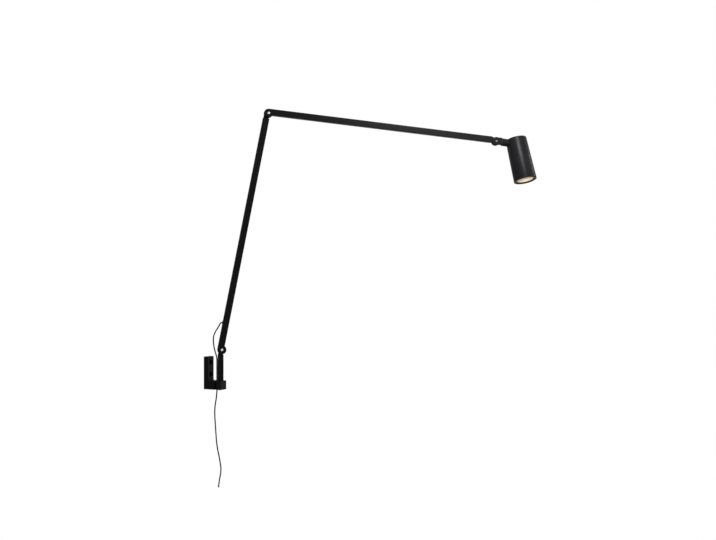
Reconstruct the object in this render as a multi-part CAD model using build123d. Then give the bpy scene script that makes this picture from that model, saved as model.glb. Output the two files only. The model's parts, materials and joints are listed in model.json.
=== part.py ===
from build123d import *
from math import cos, radians, sin, tan, sqrt, pi
import os

# Articulating wall lamp: an L-shaped wall bracket, a swivelling post, two square
# arms with friction knuckles, and a spot head on a swivelling stem, in millimetres.
# +X points out of the wall and +Z up. The origin is on the bracket's back face,
# midway between its two screw holes. The arms fold in an upright plane through the
# post's axis; that plane is turned ARM_AZIMUTH from +X towards +Y at rest.
#
# Arms, knuckles and post are drawn lying along local +X with their hinge pin on the
# local Y axis, and local +Z is their outer side, away from the fold. The -Y side is
# the side that is seen from the front.

# Rest pose, in degrees
ARM_AZIMUTH = 38.3
LOWER_LEAN = 11.1
UPPER_SLOPE = 5.2
HEAD_ROLL = -15.3
HEAD_RAKE = 12.3

# Arms and post
ARM_LENGTH = 600.0
ARM_W = 16.0
POST_W = 14.0
TUBE_WALL = 1.5
CORNER_R = 2.0
PIN_OFFSET = 3.0
PLUG_LENGTH = 16.0
PLUG_CORNER_R = 1.0
TUBE_INNER_R = 0.5

# Clearances
SEAT_GAP = 0.05
RUN_GAP = 0.05
CURVE_GAP = 0.3

# How far a cutter runs past the face that it opens
CUT = 1.0

# Knuckles
DISC_R = ARM_W / 2 + PIN_OFFSET
TONGUE_T = 6.0
FRICTION_WASHER_T = 0.95
FRICTION_WASHER_R = 8.5
FORK_GAP = TONGUE_T + 2 * (FRICTION_WASHER_T + RUN_GAP)
SLOT_CLEAR = 1.5
TONGUE_R = DISC_R - 1.0
FORK_ROOT = DISC_R + 5.0
KNUCKLE_BLEND = 2.0
NECK_INSET = 2.0
NECK_OUTER_INSET = 1.0
COLLAR_T = 2.0
ELBOW_SHOULDER = DISC_R + 3.0
POST_SHOULDER = DISC_R + 1.0
HEAD_SHOULDER = DISC_R + 1.0

# Hinge bolts: a headed sleeve from the near side, a screw into it from the far side
BOLT_R = 2.25
BOLT_HEAD_R = 3.0
BOLT_HEAD_T = 1.3
BOLT_SINK = 1.0
SCREW_R = 1.5
SCREW_LENGTH = 9.0
HEX_KEY = 2.0

# Wires inside the arms
WIRE_R = 1.2
WIRE_BORE_R = 1.6
WIRE_LIFT = 5.3
WIRE_END_SHORT = 1.0

# Wall bracket
BRACKET_W = 25.5
PLATE_T = 12.3
PLATE_TOP = 29.0
BRACKET_BOTTOM = -52.0
SHELF_TOP = -30.0
SHELF_END = 50.0
BRACKET_FILLET = 2.0
BRACKET_EDGE = 0.8
SCREW_SPACING = 30.0
WALL_SCREW_R = 2.75
WALL_SCREW_HEAD_R = 6.5
WALL_SCREW_HEAD_DEPTH = 4.0

# Post, its swivel and its bushes
POST_X = 41.3
LOWER_PIN_Z = 46.7
SPIGOT_R = 4.0
SPIGOT_SHORT = 0.4
BUSH_WALL = 1.5
BUSH_FLANGE_R = 6.8
BUSH_FLANGE_T = 1.0
BUSH_FLANGE_SINK = 0.8
BUSH_LENGTH = 7.0
FOOT_T = 3.0
SINK_R = 7.7
SINK_DEPTH = 7.0
POST_SCREW_R = 2.5
POST_SCREW_HEAD_R = 4.25
POST_SCREW_HEAD_T = 3.0
POST_SCREW_LENGTH = 12.0
POST_WASHER_R = 7.0
POST_WASHER_T = 1.2
POST_HEX_KEY = 4.0

# Cord
CORD_R = 1.6
CORD_GAP = 0.3
NOTCH_CLEAR = 0.9
CORD_EXIT = 67.0
GROMMET_R = 4.0
GROMMET_FLANGE_R = 5.0
GROMMET_FLANGE_T = 1.0
GROMMET_INSIDE = 1.0
CORD_TOUCH_Z = -26.0
CORD_EXIT_RUN = 4.5
CORD_APPROACH_Z = -19.0
ARC_SHARE = 0.45

# Link and stem between the upper arm and the head
LINK_ROOT = 14.7
LINK_TOP = 10.5
LINK_BOTTOM = -7.5
LINK_COLLAR_R = 8.0
LINK_COLLAR_END = 15.2
LINK_SPIGOT_R = 5.0
LINK_SPIGOT_LENGTH = 7.0
GROOVE_DEPTH = 1.0
GROOVE_W = 3.2
GROOVE_AT = 3.2
SWIVEL_WASHER_T = 0.5
STEM_R = 10.0
STEM_CHAMFER = 1.2
GRUB_R = 1.5
GRUB_SINK = 1.0
NIPPLE_R = 4.0
NIPPLE_BORE_R = 2.6
NIPPLE_PROUD = 1.0
SADDLE_R = 8.0
SADDLE_T = 4.5
NUT_AF = 11.0
NUT_T = 3.0

# Head
HEAD_REACH = 59.5
HEAD_LENGTH = 115.0
HEAD_TOP_R = 27.5
HEAD_MOUTH_R = 30.0
HEAD_WALL = 2.0
HEAD_CROWN_T = 2.5
HEAD_EDGE = 0.8
STEM_BELOW_TOP = 13.0
RIM_RECESS = 0.5
RIM_LIP_T = 1.2
RIM_DEPTH = 6.0
LENS_R = 22.9
LENS_T = 3.0
LENS_DOME = 0.8
LENS_FLAT_R = 15.0
LENS_CLEAR = 0.2
LAMP_R = 25.0
LAMP_RIM_T = 5.0
LAMP_NECK_R = 13.0
LAMP_BODY_LENGTH = 44.0
LAMP_BASE_R = 11.0
LAMP_BASE_LENGTH = 8.0
LAMP_PIN_R = 1.5
LAMP_PIN_HEAD_R = 2.4
LAMP_PIN_HEAD_T = 2.0
LAMP_PIN_LENGTH = 7.0
LAMP_PIN_SPACING = 10.0
HOLDER_R = 13.0
HOLDER_H = 15.0
HOLDER_FLANGE_R = 16.5
HOLDER_FLANGE_T = 3.0
CARRIER_T = 1.2
CARRIER_W = 14.0
CARRIER_HALF = 19.0
CARRIER_FOOT = 8.0
CARRIER_SCREW_R = 2.0
CARRIER_SCREW_HEAD_R = 4.0
CARRIER_SCREW_LENGTH = 9.0
CARRIER_NUT_T = 3.2
CARRIER_NUT_AF = 7.0
HOLDER_SCREW_R = 1.25
HOLDER_SCREW_HEAD_R = 2.4
HOLDER_SCREW_HEAD_T = 1.5
HOLDER_SCREW_LENGTH = 5.0
HOLDER_SCREW_OUT = 0.6
WIRE_TURN = 6.0
HEAD_WIRE_X = -6.0
HEAD_WIRE_Z = -12.0

# Values that follow from those above
CORD_FROM_AXIS = POST_W / 2 + CORD_GAP + CORD_R
BUSH_R = SPIGOT_R + RUN_GAP + BUSH_WALL
UPPER_BUSH_SEAT = SHELF_TOP - BUSH_FLANGE_SINK
HEAD_MOUTH_Z = STEM_BELOW_TOP - HEAD_LENGTH
STEM_START = LINK_COLLAR_END + SWIVEL_WASHER_T + 2 * SEAT_GAP

# Frames of the moving bodies at rest
ARM_PLANE = Pos(POST_X, 0, 0) * Rot(0, 0, ARM_AZIMUTH)
LOWER_PIN = ARM_PLANE * Pos(PIN_OFFSET, 0, LOWER_PIN_Z)
POST = LOWER_PIN * Rot(0, -90, 0)
LOWER = LOWER_PIN * Rot(0, LOWER_LEAN - 90, 0)
LOWER_FAR = LOWER * Pos(ARM_LENGTH, 0, 0)
UPPER = LOWER_FAR * Rot(0, 90 - LOWER_LEAN + UPPER_SLOPE, 0)
UPPER_FAR = UPPER * Pos(ARM_LENGTH, 0, 0)
STEM = UPPER_FAR * Rot(HEAD_ROLL, 0, 0)
HEAD = STEM * Pos(HEAD_REACH, 0, 0) * Rot(0, -HEAD_RAKE, 0)


def bar(width, radius, start, end, lift):
    """Square bar with round corners along X, its centreline at Z = lift."""
    section = Plane((start, 0, lift), (0, 1, 0), (1, 0, 0)) * RectangleRounded(width, width, radius)
    return extrude(section, end - start)


def rod_x(radius, start, end, y=0.0, z=0.0):
    """Round rod along X."""
    return extrude(Plane((start, y, z), (0, 1, 0), (1, 0, 0)) * Circle(radius), end - start)


def rod_y(radius, start, end, x=0.0, z=0.0):
    """Round rod along Y."""
    return extrude(Plane((x, start, z), (1, 0, 0), (0, 1, 0)) * Circle(radius), end - start)


def rod_z(radius, start, end, x=0.0, y=0.0):
    """Round rod along Z."""
    return extrude(Plane((x, y, start)) * Circle(radius), end - start)


def tube(width, start, end, lift):
    """Square tube along X, open at both ends."""
    inner = bar(width - 2 * TUBE_WALL, TUBE_INNER_R, start, end, lift)
    return bar(width, CORNER_R, start, end, lift) - inner


def plug(width, start, end, lift):
    """Solid plug that fits the bore of a square tube."""
    return bar(width - 2 * TUBE_WALL - 2 * SEAT_GAP, PLUG_CORNER_R, start, end, lift)


def bolt_bore(radius):
    """Cross bore through a knuckle."""
    return rod_y(radius, -ARM_W, ARM_W)


def fork_outline(disc_r, root, low, high, blend):
    """Disc round the pin that runs out into a straight root."""
    outline = Circle(disc_r) + Pos(root / 2, (low + high) / 2) * Rectangle(root, high - low)
    corners = outline.vertices().filter_by(
        lambda v: v.X < root - SEAT_GAP and v.X > 1 and min(abs(v.Y - low), abs(v.Y - high)) < 0.01
    )
    return fillet(corners, blend)


def fork_body(disc_r, root, low, high, blend):
    """Solid knuckle with its outer edges rounded like the tube's corners."""
    outline = fork_outline(disc_r, root, low, high, blend)
    body = extrude(Plane.XZ * outline, ARM_W / 2, both=True)
    rim = body.edges().filter_by(
        lambda e: abs(abs(e.center().Y) - ARM_W / 2) < 0.01 and e.center().X < root - 0.01
    )
    return fillet(rim, CORNER_R)


def open_fork(body, disc_r, lift):
    """Cut the slot, the bolt's bore and its sunk seats, and the wire's bore."""
    slot_end = TONGUE_R + SLOT_CLEAR
    slot_start = -disc_r - CUT
    slot = Pos((slot_start + slot_end) / 2, 0, 0) * Box(slot_end - slot_start, FORK_GAP, 4 * disc_r)
    body = body - slot - bolt_bore(BOLT_R + SEAT_GAP)
    for side in (-1, 1):
        y_out = side * ARM_W
        y_floor = side * (ARM_W / 2 - BOLT_SINK)
        body = body - rod_y(BOLT_HEAD_R + SEAT_GAP, y_floor, y_out)
    return body - rod_x(WIRE_BORE_R, slot_end - CUT, FORK_ROOT + PLUG_LENGTH + CUT, z=lift)


def arm_fork():
    """Fork at an arm's inner end: flush with the outer face, bulging on the fold side."""
    low = PIN_OFFSET - ARM_W / 2
    high = PIN_OFFSET + ARM_W / 2
    body = fork_body(DISC_R, FORK_ROOT, low, high, KNUCKLE_BLEND)
    body = body + plug(ARM_W, FORK_ROOT, FORK_ROOT + PLUG_LENGTH, PIN_OFFSET)
    return open_fork(body, DISC_R, WIRE_LIFT)


def tongue(width, shoulder, wired):
    """Tongue at the far end of an arm or post, with its body towards -X."""
    low = PIN_OFFSET - width / 2 + NECK_INSET
    high = PIN_OFFSET + width / 2 - NECK_OUTER_INSET
    neck = Pos(-shoulder / 2, (low + high) / 2) * Rectangle(shoulder, high - low)
    blade = extrude(Plane.XZ * (Circle(TONGUE_R) + neck), TONGUE_T / 2, both=True)
    collar_start = -shoulder - COLLAR_T
    collar = bar(width, CORNER_R, collar_start, -shoulder, PIN_OFFSET)
    seat = plug(width, collar_start - PLUG_LENGTH, collar_start, PIN_OFFSET)
    body = blade + collar + seat - bolt_bore(BOLT_R + RUN_GAP)
    if wired:
        body = body - rod_x(WIRE_BORE_R, collar_start - PLUG_LENGTH - CUT, TONGUE_R + CUT, z=WIRE_LIFT)
    return body


def hinge_bolt():
    """Sleeve with a low domed head on the near side and a threaded bore."""
    head_y = -ARM_W / 2 + BOLT_SINK
    end_y = ARM_W / 2 - BOLT_SINK - SEAT_GAP
    head = rod_y(BOLT_HEAD_R, head_y - BOLT_HEAD_T, head_y)
    rim = head.edges().group_by(Axis.Y)[0]
    head = fillet(rim, BOLT_HEAD_T / 2)
    shank = rod_y(BOLT_R, head_y, end_y)
    return head + shank - rod_y(SCREW_R + SEAT_GAP, end_y - SCREW_LENGTH - CUT, end_y + CUT)


def hinge_screw():
    """Socket screw that clamps the sleeve from the far side."""
    head_y = ARM_W / 2 - BOLT_SINK
    head = rod_y(BOLT_HEAD_R, head_y, head_y + BOLT_HEAD_T)
    rim = head.edges().group_by(Axis.Y)[-1]
    head = fillet(rim, BOLT_HEAD_T / 3)
    key = Plane((0, head_y + BOLT_HEAD_T / 3, 0), (1, 0, 0), (0, 1, 0)) * RegularPolygon(
        HEX_KEY / 2, 6, major_radius=False
    )
    body = head + rod_y(SCREW_R, head_y - SCREW_LENGTH, head_y)
    return body - extrude(key, BOLT_HEAD_T)


def friction_washers():
    """Two friction washers, one against each cheek of a fork."""
    inner = FORK_GAP / 2 - FRICTION_WASHER_T
    washers = []
    for side in (-1, 1):
        ring = rod_y(FRICTION_WASHER_R, side * inner, side * FORK_GAP / 2)
        washers.append(ring - bolt_bore(BOLT_R + SEAT_GAP))
    return washers


def corner_radii(points):
    """Fillet radius at each inner point: a share of the shorter run over tan of half the turn."""
    radii = []
    for before, here, after in zip(points, points[1:], points[2:]):
        run_in = Vector(*here) - Vector(*before)
        run_out = Vector(*after) - Vector(*here)
        turn = radians(run_in.get_angle(run_out))
        radii.append(ARC_SHARE * min(run_in.length, run_out.length) / tan(turn / 2))
    return radii


def cord_path(points):
    """Straight runs joined by tangent arcs as large as the runs allow."""
    if len(points) == 2:
        return Line(*points)
    return FilletPolyline(*points, radius=corner_radii(points))


# Cord routes. The loop's points are (outward from the pin, up from the pin) in the
# arms' plane; the drop's points are (X, Z) from the cord's place in the shelf's notch.
LOOP_POINTS = [
    (-8.6, 63.0),
    (-14.5, 52.5),
    (-21.2, 36.5),
    (-22.0, 20.0),
    (-20.6, 6.0),
    (-16.2, -8.0),
]
DROP_POINTS = [
    (0.2, -64.0),
    (-8.0, -102.0),
    (-3.6, -152.0),
    (-1.0, -188.0),
    (9.3, -228.0),
    (12.8, -252.0),
    (6.4, -277.0),
    (4.8, -293.0),
]


def exit_point(depth):
    """Point of the cord's exit axis, that far outside the arm's outer face."""
    lean = radians(LOWER_LEAN)
    across = PIN_OFFSET + ARM_W / 2 + depth
    return (CORD_EXIT * sin(lean) - across * cos(lean), CORD_EXIT * cos(lean) + across * sin(lean))


def loop_route():
    """Free loop from the arm's grommet to the post, in the frame of the lower pin."""
    side = -PIN_OFFSET - CORD_FROM_AXIS
    start = GROMMET_FLANGE_T + SEAT_GAP
    points = [exit_point(start), exit_point(start + CORD_EXIT_RUN)] + LOOP_POINTS
    points += [(side, CORD_APPROACH_Z), (side, CORD_TOUCH_Z)]
    return [(u, 0, z) for u, z in points]


def drop_route():
    """Cord from the shelf's top through the notch to its bare end, in the part's frame."""
    azimuth = radians(ARM_AZIMUTH)
    x = POST_X - CORD_FROM_AXIS * cos(azimuth)
    y = -CORD_FROM_AXIS * sin(azimuth)
    return [(x, y, SHELF_TOP)] + [(x + dx, y, z) for dx, z in DROP_POINTS]


def cord(points, radius=CORD_R):
    """Round cord along a route."""
    path = cord_path(points)
    start = Plane(path.position_at(0), z_dir=path.tangent_at(0))
    return sweep(start * Circle(radius), path)


def report_cord(name, points, solid):
    """Print a cord's radii and compare its volume with section times length."""
    path = cord_path(points)
    volume = pi * CORD_R**2 * path.length
    radii = [round(r, 1) for r in corner_radii(points)]
    print(f"{name}: length {path.length:.1f}, radii {radii}, volume ratio {solid.volume / volume:.4f}")


# Bracket body ------------------------------------------------------------


def wall_bracket():
    """L-shaped block: wall plate with two sunk screw holes, shelf with the post's bearing."""
    outline = Polyline(
        (0, BRACKET_BOTTOM),
        (SHELF_END, BRACKET_BOTTOM),
        (SHELF_END, SHELF_TOP),
        (PLATE_T, SHELF_TOP),
        (PLATE_T, PLATE_TOP),
        (0, PLATE_TOP),
        close=True,
    )
    face = make_face(outline)
    inner = face.vertices().filter_by(lambda v: abs(v.X - PLATE_T) < 0.01 and abs(v.Y - SHELF_TOP) < 0.01)
    body = extrude(Plane.XZ * fillet(inner, BRACKET_FILLET), BRACKET_W / 2, both=True)
    outer = body.edges().filter_by(lambda e: e.center().X > 0.01)
    body = chamfer(outer, BRACKET_EDGE)
    for z in (-SCREW_SPACING / 2, SCREW_SPACING / 2):
        body = body - rod_x(WALL_SCREW_R, -CUT, PLATE_T + CUT, z=z)
        body = body - rod_x(WALL_SCREW_HEAD_R, PLATE_T - WALL_SCREW_HEAD_DEPTH, PLATE_T + CUT, z=z)
    body = body - rod_z(BUSH_R + SEAT_GAP, BRACKET_BOTTOM - CUT, SHELF_TOP + CUT, x=POST_X)
    body = body - rod_z(SINK_R, BRACKET_BOTTOM - CUT, BRACKET_BOTTOM + SINK_DEPTH, x=POST_X)
    body = body - rod_z(BUSH_FLANGE_R + SEAT_GAP, UPPER_BUSH_SEAT, SHELF_TOP + CUT, x=POST_X)
    return body - cord_notch()


def cord_notch():
    """Slot through the shelf for the cord, open on the near side."""
    x, y, _ = drop_route()[0]
    half = CORD_R + NOTCH_CLEAR
    end = rod_z(half, BRACKET_BOTTOM - CUT, SHELF_TOP + CUT, x=x, y=y)
    depth = y + BRACKET_W
    height = SHELF_TOP - BRACKET_BOTTOM + 2 * CUT
    middle = (SHELF_TOP + BRACKET_BOTTOM) / 2
    return end + Pos(x, y - depth / 2, middle) * Box(2 * half, depth, height)


def post_bush(seat_z, inward):
    """Flanged plain bush with its flange on seat_z and its sleeve running inward."""
    sleeve = rod_z(BUSH_R, seat_z, seat_z + inward * BUSH_LENGTH, x=POST_X)
    flange = rod_z(BUSH_FLANGE_R, seat_z, seat_z - inward * BUSH_FLANGE_T, x=POST_X)
    bore = rod_z(SPIGOT_R + RUN_GAP, seat_z - 2 * BUSH_LENGTH, seat_z + 2 * BUSH_LENGTH, x=POST_X)
    return sleeve + flange - bore


# Post body, drawn along +X as "up" with the lower pin at the origin -------

POST_FOOT_X = UPPER_BUSH_SEAT + BUSH_FLANGE_T + SEAT_GAP - LOWER_PIN_Z
SPIGOT_END_X = BRACKET_BOTTOM + SINK_DEPTH - BUSH_FLANGE_T - SPIGOT_SHORT - LOWER_PIN_Z


def post_tube():
    """Square tube of the post."""
    return tube(POST_W, POST_FOOT_X + FOOT_T, -POST_SHOULDER - COLLAR_T, PIN_OFFSET)


def post_foot():
    """Plug in the post's lower end with the swivel spigot below it."""
    body = bar(POST_W, CORNER_R, POST_FOOT_X, POST_FOOT_X + FOOT_T, PIN_OFFSET)
    body = body + plug(POST_W, POST_FOOT_X + FOOT_T, POST_FOOT_X + FOOT_T + PLUG_LENGTH, PIN_OFFSET)
    body = body + rod_x(SPIGOT_R, SPIGOT_END_X, POST_FOOT_X, z=PIN_OFFSET)
    bore_end = SPIGOT_END_X + POST_SCREW_LENGTH + CUT
    return body - rod_x(POST_SCREW_R + SEAT_GAP, SPIGOT_END_X - CUT, bore_end, z=PIN_OFFSET)


def post_washer():
    """Steel washer that holds the spigot up in the lower bush."""
    ring = rod_x(POST_WASHER_R, SPIGOT_END_X - POST_WASHER_T, SPIGOT_END_X, z=PIN_OFFSET)
    bore_start = SPIGOT_END_X - POST_WASHER_T - CUT
    return ring - rod_x(POST_SCREW_R + SEAT_GAP, bore_start, SPIGOT_END_X + CUT, z=PIN_OFFSET)


def post_screw():
    """Socket screw up into the spigot."""
    seat = SPIGOT_END_X - POST_WASHER_T
    head = rod_x(POST_SCREW_HEAD_R, seat - POST_SCREW_HEAD_T, seat, z=PIN_OFFSET)
    shank = rod_x(POST_SCREW_R, seat, seat + POST_SCREW_LENGTH, z=PIN_OFFSET)
    key_plane = Plane((seat - POST_SCREW_HEAD_T - CUT, 0, PIN_OFFSET), (0, 1, 0), (1, 0, 0))
    hexagon = RegularPolygon(POST_HEX_KEY / 2, 6, major_radius=False)
    key = extrude(key_plane * hexagon, CUT + POST_SCREW_HEAD_T / 2)
    return head + shank - key


def post_cord():
    """Straight stretch of cord down the post's wall-side face."""
    bottom = SHELF_TOP + SEAT_GAP
    top = LOWER_PIN_Z + CORD_TOUCH_Z - SEAT_GAP
    return ARM_PLANE * rod_z(CORD_R, bottom, top, x=-CORD_FROM_AXIS)


# Arm bodies ---------------------------------------------------------------


def arm_tube(far_shoulder):
    """Square tube of an arm between its fork and its tongue."""
    return tube(ARM_W, FORK_ROOT, ARM_LENGTH - far_shoulder - COLLAR_T, PIN_OFFSET)


def lower_arm_tube():
    """Lower arm's tube with the grommet's hole in its outer wall."""
    outer = PIN_OFFSET + ARM_W / 2
    hole = rod_z(GROMMET_R, outer - 2 * TUBE_WALL, outer + CUT, x=CORD_EXIT)
    return arm_tube(ELBOW_SHOULDER) - hole


def cord_grommet():
    """Grooved bush of soft plastic that lines the cord's exit."""
    outer = PIN_OFFSET + ARM_W / 2
    inner = outer - TUBE_WALL
    sleeve = rod_z(GROMMET_R - SEAT_GAP, inner - GROMMET_INSIDE, outer, x=CORD_EXIT)
    flange = rod_z(GROMMET_FLANGE_R, outer, outer + GROMMET_FLANGE_T, x=CORD_EXIT)
    rim = flange.edges().group_by(Axis.Z)[-1]
    bore = rod_z(WIRE_BORE_R, inner - GROMMET_INSIDE - CUT, outer + GROMMET_FLANGE_T + CUT, x=CORD_EXIT)
    return sleeve + fillet(rim, GROMMET_FLANGE_T / 2) - bore


def wire_reach():
    """How far past the pin the wire runs in a tongue's bore."""
    return sqrt(TONGUE_R**2 - WIRE_LIFT**2) - WIRE_END_SHORT


def lower_arm_wire():
    """Inner wire from the grommet along the lower arm to the elbow."""
    outer = PIN_OFFSET + ARM_W / 2
    far = ARM_LENGTH + wire_reach()
    points = [(CORD_EXIT, 0, outer), (CORD_EXIT, 0, WIRE_LIFT), (far, 0, WIRE_LIFT)]
    return cord(points, WIRE_R)


def upper_arm_wire():
    """Inner wire along the whole upper arm."""
    far = ARM_LENGTH + wire_reach()
    return rod_x(WIRE_R, TONGUE_R + SLOT_CLEAR, far, z=WIRE_LIFT)


# Link body ------------------------------------------------------------------


def head_link():
    """Fork round the upper arm's tongue with the stem's grooved swivel spigot."""
    body = fork_body(DISC_R, LINK_ROOT, LINK_BOTTOM, LINK_TOP, KNUCKLE_BLEND)
    body = body + rod_x(LINK_COLLAR_R, LINK_ROOT - CUT, LINK_COLLAR_END)
    spigot_end = LINK_COLLAR_END + LINK_SPIGOT_LENGTH
    body = body + rod_x(LINK_SPIGOT_R, LINK_COLLAR_END, spigot_end)
    groove_mid = LINK_COLLAR_END + GROOVE_AT + SWIVEL_WASHER_T
    groove = rod_x(LINK_SPIGOT_R + CUT, groove_mid - GROOVE_W / 2, groove_mid + GROOVE_W / 2)
    groove = groove - rod_x(LINK_SPIGOT_R - GROOVE_DEPTH, groove_mid - GROOVE_W, groove_mid + GROOVE_W)
    return open_fork(body - groove, DISC_R, 0)


def link_wire():
    """Short inner wire through the link."""
    return rod_x(WIRE_R, TONGUE_R + SLOT_CLEAR, LINK_COLLAR_END + LINK_SPIGOT_LENGTH)


# Head body -------------------------------------------------------------------


def head_radius(z, inset):
    """Radius of the head's outer cone at height z, less an inset."""
    share = (STEM_BELOW_TOP - z) / HEAD_LENGTH
    return HEAD_TOP_R + (HEAD_MOUTH_R - HEAD_TOP_R) * share - inset


def head_cone(inset, top, bottom):
    """Solid cone frustum that follows the head's taper."""
    points = [(0, 0, top), (head_radius(top, inset), 0, top)]
    points += [(head_radius(bottom, inset), 0, bottom), (0, 0, bottom)]
    return revolve(make_face(Polyline(*points, close=True)), Axis.Z)


def head_on_stem(shape):
    """Move a shape from the head's frame into the stem's frame."""
    return Pos(HEAD_REACH, 0, 0) * Rot(0, -HEAD_RAKE, 0) * shape


def stem_in_head(shape):
    """Move a shape from the stem's frame into the head's frame."""
    return Rot(0, HEAD_RAKE, 0) * Pos(-HEAD_REACH, 0, 0) * shape


def head_shell():
    """Tapered can, closed at the top, open at the mouth."""
    crown = STEM_BELOW_TOP - HEAD_CROWN_T
    body = head_cone(0, STEM_BELOW_TOP, HEAD_MOUTH_Z)
    rims = body.edges().filter_by(GeomType.CIRCLE)
    body = chamfer(rims, HEAD_EDGE) - head_cone(HEAD_WALL, crown, HEAD_MOUTH_Z - CUT)
    body = body - stem_in_head(rod_x(NIPPLE_R + SEAT_GAP, 0, HEAD_REACH))
    body = body - rod_z(CARRIER_SCREW_R + SEAT_GAP, crown - CUT, STEM_BELOW_TOP + CUT)
    return body - countersink(SEAT_GAP)


def countersink(gap):
    """Conical seat or head of the crown's screw."""
    drop = CARRIER_SCREW_HEAD_R - CARRIER_SCREW_R
    top = STEM_BELOW_TOP
    points = [(0, 0, top), (CARRIER_SCREW_HEAD_R + gap, 0, top)]
    points += [(CARRIER_SCREW_R + gap, 0, top - drop), (0, 0, top - drop)]
    return revolve(make_face(Polyline(*points, close=True)), Axis.Z)


def stem_barrel():
    """Round barrel that turns on the link's spigot and carries the head."""
    body = rod_x(STEM_R, STEM_START, HEAD_REACH)
    body = chamfer(body.edges().group_by(Axis.X)[0], STEM_CHAMFER)
    body = body - head_on_stem(head_cone(-SEAT_GAP, STEM_R * 4, -STEM_R * 4))
    bore_end = LINK_COLLAR_END + LINK_SPIGOT_LENGTH + RUN_GAP + SEAT_GAP
    body = body - rod_x(LINK_SPIGOT_R + RUN_GAP, STEM_START - CUT, bore_end)
    body = body - rod_x(NIPPLE_R + SEAT_GAP, bore_end - CUT, HEAD_REACH)
    return body - Pos(groove_x(), 0, 0) * rod_z(GRUB_R + SEAT_GAP, 0, STEM_R + CUT)


def groove_x():
    """Place of the swivel groove along the stem."""
    return LINK_COLLAR_END + GROOVE_AT + SWIVEL_WASHER_T


def swivel_grub():
    """Grub screw whose point runs in the spigot's groove."""
    tip = LINK_SPIGOT_R - GROOVE_DEPTH + RUN_GAP + 2 * SEAT_GAP
    return Pos(groove_x(), 0, 0) * rod_z(GRUB_R, tip, STEM_R - GRUB_SINK)


def swivel_washer():
    """Thin washer between the link's collar and the barrel."""
    start = LINK_COLLAR_END + SEAT_GAP
    ring = rod_x(LINK_COLLAR_R, start, start + SWIVEL_WASHER_T)
    return ring - rod_x(LINK_SPIGOT_R + RUN_GAP, start - CUT, start + SWIVEL_WASHER_T + CUT)


def nipple_start():
    """Inner end of the nipple's thread in the barrel."""
    return LINK_COLLAR_END + LINK_SPIGOT_LENGTH + 2 * RUN_GAP + SEAT_GAP


def saddle_seat():
    """Flat side of the saddle washer along the stem."""
    return HEAD_REACH - head_radius(0, HEAD_WALL) + SADDLE_T


def stem_nipple():
    """Hollow threaded tube that ties the barrel to the shell and carries the wire."""
    end = saddle_seat() + NUT_T + NIPPLE_PROUD
    return rod_x(NIPPLE_R, nipple_start(), end) - rod_x(NIPPLE_BORE_R, nipple_start() - CUT, end + CUT)


def saddle_washer():
    """Washer shaped to the inside of the shell."""
    seat = saddle_seat()
    body = rod_x(SADDLE_R, seat - 3 * SADDLE_T, seat) - rod_x(NIPPLE_R + SEAT_GAP, 0, HEAD_REACH)
    inside = head_cone(HEAD_WALL + SEAT_GAP, STEM_BELOW_TOP - HEAD_CROWN_T - SEAT_GAP, -4 * SADDLE_R)
    return body & head_on_stem(inside)


def nipple_nut():
    """Hexagon nut on the nipple inside the head."""
    plane = Plane((saddle_seat(), 0, 0), (0, 1, 0), (1, 0, 0))
    body = extrude(plane * RegularPolygon(NUT_AF / 2, 6, major_radius=False), NUT_T)
    return body - rod_x(NIPPLE_R + SEAT_GAP, 0, HEAD_REACH)


def rim_ring():
    """Ring in the mouth that frames the lens and centres the lamp."""
    low = HEAD_MOUTH_Z + RIM_RECESS
    lip = low + RIM_LIP_T
    high = low + RIM_DEPTH
    outer = head_radius(high, HEAD_WALL + SEAT_GAP)
    step = lip + LENS_DOME
    points = [(LENS_R + LENS_CLEAR, 0, low), (outer, 0, low), (outer, 0, high)]
    points += [(LAMP_R + SEAT_GAP, 0, high), (LAMP_R + SEAT_GAP, 0, step), (LENS_R + LENS_CLEAR, 0, step)]
    return revolve(make_face(Polyline(*points, close=True)), Axis.Z)


def lamp_back():
    """Height of the lamp's rim face behind the rim ring's lip."""
    return HEAD_MOUTH_Z + RIM_RECESS + RIM_LIP_T + LENS_DOME + SEAT_GAP


def lamp_body():
    """Reflector lamp's body: rim, flared wall and neck, hollow behind the lens."""
    face = lamp_back()
    shoulder = face + LAMP_RIM_T
    end = face + LAMP_BODY_LENGTH
    points = [(LAMP_R, 0, face), (LAMP_R, 0, shoulder), (LAMP_NECK_R, 0, end), (0, 0, end)]
    points += [(0, 0, face + LENS_T), (LENS_R + SEAT_GAP, 0, face + LENS_T), (LENS_R + SEAT_GAP, 0, face)]
    return revolve(make_face(Polyline(*points, close=True)), Axis.Z)


def lamp_lens():
    """Glowing lens with a flat raised middle and a conical edge."""
    face = lamp_back()
    inside = face + LENS_T - SEAT_GAP
    points = [(0, 0, face - LENS_DOME), (LENS_FLAT_R, 0, face - LENS_DOME), (LENS_R, 0, face)]
    points += [(LENS_R, 0, inside), (0, 0, inside)]
    return revolve(make_face(Polyline(*points, close=True)), Axis.Z)


def lamp_base():
    """Lamp's plastic base with its two headed contact pins."""
    start = lamp_back() + LAMP_BODY_LENGTH + SEAT_GAP
    end = start + LAMP_BASE_LENGTH
    body = rod_z(LAMP_BASE_R, start, end)
    for x in (-LAMP_PIN_SPACING / 2, LAMP_PIN_SPACING / 2):
        body = body + rod_z(LAMP_PIN_R, end, end + LAMP_PIN_LENGTH, x=x)
        head_start = end + LAMP_PIN_LENGTH - LAMP_PIN_HEAD_T
        body = body + rod_z(LAMP_PIN_HEAD_R, head_start, end + LAMP_PIN_LENGTH, x=x)
    return body


def holder_bottom():
    """Height of the lamp holder's lower face."""
    return lamp_back() + LAMP_BODY_LENGTH + LAMP_BASE_LENGTH + 2 * SEAT_GAP


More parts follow.
